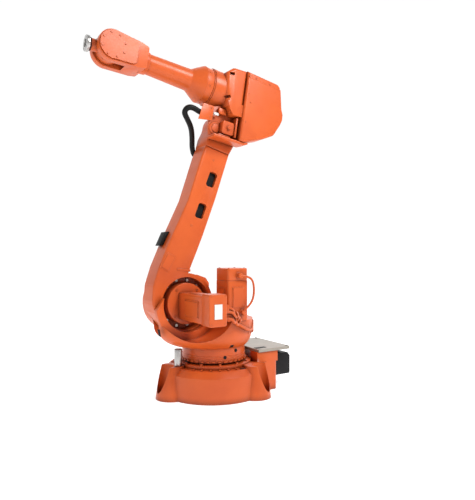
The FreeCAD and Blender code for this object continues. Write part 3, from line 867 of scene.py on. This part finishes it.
@dataclass
class BaseFittings(Fittings):
    """Fittings of the foot."""

    rib_bearings: tuple[int, ...] = (32, 44, 56, 68, 80, 92, -32, -44, -56, -68, -80, -92)
    rib_circle: float = 180.0
    rib_foot: float = 127.5
    anchor_circle: float = 238.0
    anchor_bearings: tuple[int, ...] = (0, 120, 240)
    anchor_seat: float = 38.0
    lid_top: float = 188.0
    hood_rows: tuple[float, ...] = (-60.0, 2.0, 64.0)
    hood_top: float = 148.0
    hood_back: float = -359.0

    def build(self) -> None:
        """Add ribs round the seat, bolt sockets, lid screws, a deck plug and the hoods' levers and faces."""
        ribs = [slab(f"rib_{n}", (20.0, 7.0, 5.0),
                     rotation(bearing, "Z") @ shift(self.rib_circle, 0.0, self.rib_foot), 1.4)
                for n, bearing in enumerate(self.rib_bearings)]
        self.shop.mount(merged("seat_ribs", ribs), self.body, Slot.ORANGE)
        circle = [(self.anchor_circle * math.cos(math.radians(a)),
                   self.anchor_circle * math.sin(math.radians(a)), self.anchor_seat)
                  for a in self.anchor_bearings]
        self.screws("anchor_sockets", circle, Facing.UP, 8.0, 6.0, Slot.ZINC)
        self.screws("lid_screws", [(x, y, self.lid_top) for x in (-166, -318) for y in (-122, 122)],
                    Facing.UP, 5.0, 3.0, Slot.ZINC)
        self.panel("lid_recess", (56.0, 20.0, 1.6), (-186.0, 98.0, self.lid_top), Facing.UP, Slot.PLASTIC,
                   0.7)
        self.panel("deck_plug", (26.0, 12.0, 2.4), (-36.0, 182.0, 127.8), Facing.UP, Slot.PLASTIC, 1.0)
        for n, across in enumerate(self.hood_rows):
            self.panel(f"hood_lever_{n}", (12.0, 60.0, 8.0), (-300.0, across, self.hood_top), Facing.UP,
                       Slot.PLASTIC, 2.0, 3.0)
            self.panel(f"hood_face_{n}", (58.0, 40.0, 3.0), (self.hood_back, across, 92.0), Facing.BACK,
                       Slot.PLASTIC, 1.2)


@dataclass
class TurretFittings(Fittings):
    """Fittings of the turret and of its two motors."""

    tooth_count: int = 36
    tooth_circle: float = 140.0
    tooth_foot: float = 151.0
    band_levels: tuple[float, ...] = (166.0, 176.0)
    rib_bearings: tuple[int, ...] = (118, 127, 136, 145, 154, 163)
    rib_circle: float = 172.0
    rib_level: float = 292.0
    shoulder: tuple[float, float] = (150.0, 400.0)
    flange_circle: float = 76.0
    flange_angles: tuple[float, ...] = (0.9, 2.3, 3.6, 5.5)
    harness_steps: tuple[tuple[float, float], ...] = ((0.0, 0.0), (9.0, 14.0), (-8.0, 26.0), (2.0, 40.0))

    def build(self) -> None:
        """Add the neck's teeth, bands, port and plugs, the bowl's ribs, and the motors' fittings."""
        seat = shift(self.tooth_circle, 0.0, self.tooth_foot)
        teeth = [slab(f"tooth_{n}", (9.0, 13.0, 8.0),
                      Matrix.Rotation(math.tau * n / self.tooth_count, 4, "Z") @ seat, 2.2)
                 for n in range(self.tooth_count)]
        self.shop.mount(merged("neck_teeth", teeth), self.body, Slot.ORANGE)
        for n, height in enumerate(self.band_levels):
            self.turned(f"neck_band_{n}", [(139.0, 0.0), (140.4, 1.0), (140.4, 3.0), (139.0, 4.0)],
                        (0.0, 0.0, height), Facing.UP, sides=96)
        self.panel("neck_port", (17.0, 17.0, 6.0), (2.0, 152.0, 226.0), outward(89.0, 42.0), Slot.PLASTIC,
                   1.2)
        self.panel("neck_port_rim", (23.0, 23.0, 5.0), (2.0, 151.2, 225.2), outward(89.0, 42.0),
                   Slot.ORANGE, 2.0)
        for n, (x, y, z) in enumerate(((-30.0, 135.0, 199.0), (24.0, 136.0, 174.0))):
            self.turned(f"neck_plug_{n}", [(7.0, 0.0), (7.0, 3.0), (5.0, 4.0), (3.0, 4.0), (2.6, 1.5)],
                        (x, y, z), outward(math.degrees(math.atan2(y, x))), Slot.PLASTIC, 20)
        ribs = [slab(f"rib_{n}", (52.0, 4.0, 7.0), rotation(bearing, "Z") @
                     shift(self.rib_circle, 0.0, self.rib_level) @ Facing.FRONT.matrix(), 1.4)
                for n, bearing in enumerate(self.rib_bearings)]
        self.shop.mount(merged("bowl_ribs", ribs), self.body, Slot.ORANGE)
        self.panel("cheek_port", (30.0, 12.0, 4.0), (289.0, 61.0, 292.0), outward(12.0, 12.0),
                   Slot.PLASTIC, 1.4)
        self.shoulder_motor()
        self.turning_motor()
        self.leads()

    def shoulder_motor(self) -> None:
        """Dress the motor on the shoulder."""
        self.panel("motor_side_panel", (70.0, 116.0, 3.0), (187.0, 150.0, 391.0), Facing.FRONT, edge=1.2,
                   step=5.0)
        self.screws("motor_side_screws", [(190.0, y, z) for y in (98, 202) for z in (362, 420)],
                    Facing.FRONT, 3.2, 2.4)
        across, up = self.shoulder
        self.screws("motor_flange_screws", [
            (across + self.flange_circle * math.cos(a), 28.0, up + self.flange_circle * math.sin(a))
            for a in self.flange_angles], Facing.LEFT, 5.0, 5.0)
        self.panel("motor_top_panel", (52.0, 120.0, 3.0), (150.0, 150.0, 447.5), Facing.UP, edge=1.2,
                   step=4.0)
        self.screws("motor_cap_screws", [(x, 293.0, z) for x in (120, 180) for z in (342, 450)],
                    Facing.LEFT, 3.2, 1.8)
        self.panel("motor_plug_box", (34.0, 30.0, 22.0), (112.0, 262.0, 396.0), Facing.BACK, edge=3.0)

    def turning_motor(self) -> None:
        """Dress the upright motor."""
        self.panel("upright_panel", (60.0, 92.0, 2.6), (-14.0, 179.0, 430.0), Facing.LEFT, edge=1.0,
                   step=4.0)
        self.panel("upright_side_panel", (118.0, 56.0, 2.6), (35.0, 130.0, 412.0), Facing.FRONT, edge=1.0,
                   step=4.0)
        self.screws("upright_screws", [(x, 181.0, z) for x in (-40, 12) for z in (392, 468)], Facing.LEFT,
                    3.0, 2.2)
        self.screws("upright_cap_screws", [(x, y, 551.0) for x in (-52, 24) for y in (92, 168)], Facing.UP,
                    4.0, 2.6)
        self.turned("upright_plug", [(15.0, 0.0), (15.0, 5.0), (12.0, 6.0), (12.0, 16.0), (9.0, 20.0)],
                    (-18.0, 178.0, 521.0), Facing.LEFT)
        self.turned("upright_low_plug", [(14.0, 0.0), (14.0, 5.0), (11.0, 6.0), (11.0, 14.0), (8.0, 18.0)],
                    (-34.0, 178.0, 366.0), Facing.LEFT)

    def leads(self) -> None:
        """Lay the motors' leads."""
        self.lead("upright_lead", [(-18, 194, 521), (-40, 200, 520), (-74, 200, 505), (-84, 198, 462),
                                   (-78, 198, 420), (-56, 198, 392), (-36, 198, 380), (-34, 190, 366)], 4.5)
        for n, (side, drop) in enumerate(self.harness_steps):
            self.lead(f"harness_{n}", [
                (100, 264 + side / 2, 398 - drop), (74, 268 + side, 400 - drop),
                (52, 256 + side, 372 - drop), (36 - side, 232, 372 - drop / 2),
                (14, 214 + side, 356 - drop), (-8 + side, 196, 350 - drop / 2),
                (-22 + side, 176, 348 - drop / 2)], 6.0)
        for n, (x, y, z) in enumerate(((52, 254, 368), (30, 226, 352), (8, 205, 340))):
            self.turned(f"harness_clip_{n}", [(15.0, 0.0), (17.0, 2.0), (17.0, 8.0), (15.0, 10.0)],
                        (x, y, z), outward(220.0), sides=20)
        self.lead("deck_lead", [(0, 196, 322), (-30, 192, 306), (-74, 170, 286), (-110, 140, 282),
                                (-128, 118, 300), (-122, 100, 318)], 6.5)


@dataclass
class ColumnFittings(Fittings):
    """Fittings of the lower arm."""

    left_face: float = 25.0
    pad_face: float = 24.0
    recess_floor: float = -23.0
    windows: tuple[tuple[str, float, float], ...] = (("low", 33.0, 404.0), ("high", 16.0, 553.0))

    def build(self) -> None:
        """Add window linings, the pocket's step and ledge, and the arm's, buffer's and recess's screws."""
        for name, centre, level in self.windows:
            self.panel(f"window_lining_{name}", (54.0, 80.0, 30.0), (centre, -24.0, level), Facing.LEFT,
                       Slot.RUBBER, 2.0, 6.0)
        self.panel("pocket_step", (46.0, 74.0, 2.4), (128.0, self.pad_face, 150.0),
                   rotation(-14, "Y") @ Facing.LEFT.matrix(), edge=1.1, step=5.0)
        self.panel("pocket_ledge", (64.0, 10.0, 3.0), (48.0, self.pad_face, 136.0),
                   rotation(8, "Y") @ Facing.LEFT.matrix(), edge=1.4)
        self.screws("arm_plugs", [(60.0, self.left_face, 330.0), (28.0, self.left_face, 640.0)],
                    Facing.LEFT, 4.0, 1.6)
        self.screws("buffer_screws", [(165.0, 0.0, 238.0), (156.0, 0.0, 262.0)], Facing.FRONT, 3.0, 2.0,
                    Slot.PLASTIC)
        self.screws("recess_seats", [(x, self.recess_floor, z) for x, z in (
            (-56.0, 76.0), (-92.0, 4.0), (60.0, 76.0))], Facing.LEFT, 8.0, 6.0)


@dataclass
class ElbowFittings(Fittings):
    """Fittings of the elbow housing."""

    flange_side: float = 80.0
    cover_side: float = 98.0
    seam_side: float = 101.5
    cave_face: float = 41.0
    far_side: float = -92.0
    bracket_side: float = 63.5

    def build(self) -> None:
        """Add the bolts and screws, the fittings in the cave, the white plug and the cover's panels."""
        self.screws("flange_bolts", [(x, self.flange_side, z) for x, z in (
            (30.0, 222.0), (34.0, 118.0), (28.0, 58.0))], Facing.FRONT, 5.0, 5.0)
        self.screws("top_screws", [(x, self.cover_side, z) for x, z in (
            (-41.0, 241.0), (-73.0, 240.0), (-150.0, 238.0))], Facing.LEFT, 3.4, 2.6)
        self.screws("seam_screws", [(x, self.seam_side, z) for x, z in (
            (-46.0, 160.0), (-58.0, 122.0), (-46.0, 30.0))], Facing.LEFT, 2.8, 2.0)
        self.panel("cave_rib", (90.0, 9.0, 42.0), (-14.0, self.cave_face, -4.0),
                   rotation(90, "Y") @ Facing.LEFT.matrix(), edge=1.6)
        self.panel("cave_shelf", (60.0, 10.0, 30.0), (34.0, self.cave_face, -52.0), Facing.LEFT, edge=1.6)
        self.turned("cave_cap", [(30.0, 0.0), (30.0, 3.0), (27.0, 5.0), (20.0, 5.0), (18.0, 9.0),
                                 (10.0, 10.0)], (70.0, self.cave_face, -22.0), Facing.LEFT)
        self.screws("cave_screws", [(78.0, 42.0, 44.0), (84.0, 42.0, -2.0), (52.0, 42.0, -34.0)],
                    Facing.LEFT, 3.6, 3.0)
        self.panel("white_plug", (24.0, 11.0, 9.0), (84.0, 56.0, 35.0), Facing.LEFT, Slot.PLATE, 2.4)
        self.panel("cave_box", (40.0, 26.0, 20.0), (52.0, self.cave_face, 56.0), Facing.LEFT, edge=3.0)
        self.turned("elbow_motor_plug", [(9.0, 0.0), (9.0, 6.0), (7.0, 7.0), (7.0, 12.0)],
                    (22.0, 75.0, -14.0), Facing.LEFT)
        self.panel("top_panel", (110.0, 96.0, 2.0), (-116.0, 4.0, 259.6), rotation(1.0, "Y"), edge=0.9,
                   step=5.0)
        self.panel("back_panel", (64.0, 110.0, 2.4), (-221.5, 4.0, 196.0), rotation(-90 + 9, "Y"),
                   edge=1.0, step=5.0)
        self.screws("far_screws", [(x, self.far_side, z) for x in (-60, -180) for z in (110, 225)],
                    Facing.RIGHT, 3.4, 2.6)
        self.screws("tray_screws", [(-20.0, 84.0, -66.0), (60.0, 84.0, -66.0)], Facing.LEFT, 2.6, 8.6)
        self.screws("bracket_screws", [(112.0, self.bracket_side, z) for z in (52.0, 12.0)], Facing.LEFT,
                    3.2, 2.4)


@dataclass
class ForearmFittings(Fittings):
    """Fittings of the forearm tube and of the wrist's fork."""

    axis_rise: float = 162.0
    root_seat: float = 139.0
    root_radius: float = 79.0
    root_angles: tuple[float, ...] = (0.5, 1.9, 3.3, 4.7, 6.0)
    fork_seat: float = 468.0
    fork_side: float = 57.5
    fork_levels: tuple[float, ...] = (-36.0, -12.0, 12.0, 36.0)

    def build(self) -> None:
        """Add plugs round the root, the tube's bands and plug, and the fork's side screws."""
        plug = [(5.5, 0.0), (5.5, 2.0), (4.2, 2.6), (2.4, 2.6), (2.0, 1.4)]
        made = []
        for n, a in enumerate(self.root_angles):
            y, z = self.root_radius * math.cos(a), self.axis_rise + self.root_radius * math.sin(a)
            turn = Matrix.Rotation(math.atan2(z - self.axis_rise, y), 4, "X") @ Facing.LEFT.matrix()
            made.append(lathe(f"root_plug_{n}", plug, self.stand(turn, self.root_seat, y, z), 18))
        self.shop.mount(merged("root_plugs", made), self.body, Slot.ORANGE)
        self.turned("root_band", [(80.0, 0.0), (81.0, 0.8), (81.0, 3.2), (80.0, 4.0)],
                    (151.0, 0.0, self.axis_rise), Facing.FRONT, sides=72)
        self.turned("tube_band", [(44.0, 0.0), (44.8, 0.8), (44.8, 4.2), (43.4, 5.0)],
                    (300.0, 0.0, self.axis_rise), Facing.FRONT, sides=56)
        self.turned("tube_plug", [(6.0, 0.0), (6.0, 2.0), (4.4, 2.8), (2.4, 2.8)], (240.0, 0.0, 207.5),
                    Facing.UP, sides=20)
        for side, facing in ((1, Facing.LEFT), (-1, Facing.RIGHT)):
            spots = [(self.fork_seat, side * self.fork_side, self.axis_rise + n) for n in self.fork_levels]
            self.screws(f"fork_screws_{side + 1}", spots, facing, 3.2, 2.4)


@dataclass
class WristFittings(Fittings):
    """Fittings of the tilting wrist."""

    flange_back: float = 74.0
    drum_radius: float = 51.2
    plug_angles: tuple[float, ...] = (-0.7, 0.2, 2.6, 3.6)

    def build(self) -> None:
        """Add the seal behind the flange and the drum's plugs."""
        self.turned("flange_seal", [(24.0, 0.0), (25.6, 1.0), (25.6, 4.0), (23.0, 5.0)],
                    (self.flange_back, 0.0, 0.0), Facing.FRONT, Slot.RUBBER, 40)
        plug = [(5.0, 0.0), (5.0, 1.6), (3.6, 2.4), (2.0, 2.4)]
        made = []
        for n, a in enumerate(self.plug_angles):
            x, z = self.drum_radius * math.sin(a), self.drum_radius * math.cos(a)
            made.append(lathe(f"drum_plug_{n}", plug, self.stand(Matrix.Rotation(a, 4, "Y"), x, 0.0, z), 18))
        self.shop.mount(merged("drum_plugs", made), self.body, Slot.ORANGE)


@dataclass
class HoseLook:
    """The black hose that crosses the elbow."""

    shop: Workshop
    frame: Matrix
    route: tuple[tuple[float, float, float], ...] = (
        (0.120, 0.044, 0.024), (0.150, 0.044, 0.024), (0.190, 0.046, 0.034), (0.214, 0.042, 0.028),
        (0.222, 0.032, 0.006), (0.200, 0.018, -0.008), (0.156, -0.016, -0.030), (0.124, -0.058, -0.060),
        (0.098, -0.098, -0.096), (0.071, -0.114, -0.1255), (0.0233, -0.114, -0.1303))
    radius: float = 12.0

    def build(self) -> None:
        """Lay the hose and stand it in place of the construction hose."""
        points = [self.frame @ Vector(point) for point in self.route]
        curve = spline("elbow_hose_look", points, self.radius)
        line = self.centreline(curve)
        choose(curve)
        bpy.ops.object.convert(target="MESH")
        hose = bpy.context.object
        self.shop.wardrobe.dress(hose, Slot.RUBBER)
        choose(hose)
        bpy.ops.object.shade_smooth()
        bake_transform(hose)
        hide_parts("elbow_hose")
        self.shop.dressed.add("elbow_hose")

    @staticmethod
    def centreline(curve: bpy.types.Object) -> list[Vector]:
        """Read the line that a curve follows.

        Args:
            curve: the curve object.

        Returns:
            Points along it, from its first end.
        """
        depth = curve.data.bevel_depth
        curve.data.bevel_depth = 0.0
        bpy.context.view_layer.update()
        graph = bpy.context.evaluated_depsgraph_get()
        line = [vertex.co.copy() for vertex in curve.evaluated_get(graph).to_mesh().vertices]
        curve.data.bevel_depth = depth
        bpy.context.view_layer.update()
        return line


@dataclass(frozen=True)
class Lamp:
    """A soft square light: its name, its place and side in metres, and its power in watts."""

    name: str
    place: tuple[float, float, float]
    side: float
    power: float


@dataclass
class Studio:
    """A pale floor and wall, soft lights and the camera, in metres."""

    floor_side: float = 40.0
    floor_drop: float = 0.0005
    floor_tone: float = 0.80
    floor_glow: float = 0.58
    wall_side: float = 60.0
    wall_reach: float = 9.0
    world_strength: float = 0.33
    aim: tuple[float, float, float] = (0.1, 0.0, 0.7)
    lamps: tuple[Lamp, ...] = (
        Lamp("key", (-0.9, 2.6, 3.0), 1.2, 98.0), Lamp("side", (2.6, 0.4, 1.9), 1.6, 13.0),
        Lamp("back", (-1.8, -2.4, 2.6), 2.0, 26.0))
    eye: tuple[float, float, float] = (1.130, 1.937, 0.620)
    heading: tuple[float, float] = (-0.5446, -0.8387)
    lens: float = 36.0
    rise: float = 0.004

    def build(self) -> None:
        """Set the floor, the world, the lights and the camera."""
        self.floor()
        self.backdrop()
        self.lights()
        self.camera()

    def floor(self) -> None:
        """Lay the floor."""
        deselect_all()
        bpy.ops.mesh.primitive_plane_add(size=self.floor_side, location=(0, 0, -self.floor_drop))
        floor = bpy.context.object
        floor.name = "floor"
        graph = self.glow(floor, "studio floor", self.floor_tone, self.floor_glow)
        graph.shader.inputs["Roughness"].default_value = 0.9

    def glow(self, surface: bpy.types.Object, name: str, tone: float, strength: float) -> Graph:
        """Give a surface of the studio a grey that shines with a white light of its own.

        Args:
            surface: the floor or the wall.
            name: its material's name.
            tone: how light the grey is, from 0 to 1.
            strength: how brightly it shines.

        Returns:
            The material's graph.
        """
        graph = Graph(name)
        graph.shader.inputs["Base Color"].default_value = (tone, tone, tone, 1.0)
        graph.shader.inputs["Emission Color"].default_value = (1.0, 1.0, 1.0, 1.0)
        graph.shader.inputs["Emission Strength"].default_value = strength
        surface.data.materials.append(graph.material)
        return graph

    def backdrop(self) -> None:
        """Stand a bright white wall far behind the robot, where the floor ends."""
        deselect_all()
        bpy.ops.mesh.primitive_plane_add(size=self.wall_side, location=(0, 0, 0))
        wall = bpy.context.object
        wall.name = "backdrop"
        away = Vector((*self.heading, 0.0))
        turn = away.to_track_quat("Z", "Y").to_matrix().to_4x4()
        wall.data.transform(Matrix.Translation(away * self.wall_reach) @ turn)
        self.glow(wall, "studio wall", 0.0, 1.0)

    def lights(self) -> None:
        """Hang soft lights, and give the world a pale tone."""
        world = bpy.data.worlds.new("studio")
        bpy.context.scene.world = world
        world.use_nodes = True
        background = world.node_tree.nodes["Background"]
        background.inputs["Color"].default_value = (1.0, 1.0, 1.0, 1.0)
        background.inputs["Strength"].default_value = self.world_strength
        for lamp in self.lamps:
            data = bpy.data.lights.new(lamp.name, "AREA")
            data.size = lamp.side
            data.energy = lamp.power
            light = bpy.data.objects.new(lamp.name, data)
            light.location = lamp.place
            away = Vector(self.aim) - Vector(lamp.place)
            light.rotation_euler = away.to_track_quat("-Z", "Y").to_euler()
            bpy.context.scene.collection.objects.link(light)
        bpy.context.scene.view_settings.view_transform = "Standard"

    def camera(self) -> None:
        """Stand the camera at the height of the column's middle, looking level."""
        data = bpy.data.cameras.new("camera")
        data.lens = self.lens
        data.sensor_width = 36.0
        data.shift_y = self.rise
        camera = bpy.data.objects.new("camera", data)
        camera.location = self.eye
        camera.rotation_euler = Vector((*self.heading, 0.0)).to_track_quat("-Z", "Y").to_euler()
        bpy.context.scene.collection.objects.link(camera)
        bpy.context.scene.camera = camera


def main() -> None:
    """Build the arm's looks in order, from the floor up."""
    logging.basicConfig(level=logging.INFO, format="%(name)s: %(message)s")
    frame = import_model()
    shop = Workshop(frame)
    joints = frame["joints"]
    shoulder = joint_place(joints, "shoulder_axis")
    elbow = joint_place(joints, "elbow_axis")
    lean = math.atan2(shoulder.x - elbow.x, elbow.z - shoulder.z)
    column_frame = Place(shoulder, lean).matrix()
    forearm_frame = Place(elbow, joint_pitch(joints, "forearm_axis")).matrix()
    tool_frame = Place(joint_place(joints, "wrist_axis"), joint_pitch(joints, "flange_axis")).matrix()
    HoseLook(shop, forearm_frame).build()
    Castings(shop, forearm_frame).build()
    BaseFittings(shop, Body.BASE, Matrix.Identity(4)).build()
    TurretFittings(shop, Body.TURRET, Matrix.Identity(4)).build()
    ColumnFittings(shop, Body.COLUMN, column_frame).build()
    ElbowFittings(shop, Body.ELBOW, forearm_frame).build()
    ForearmFittings(shop, Body.FOREARM, forearm_frame).build()
    WristFittings(shop, Body.WRIST, tool_frame).build()
    Studio().build()


if __name__ == "__main__":
    main()
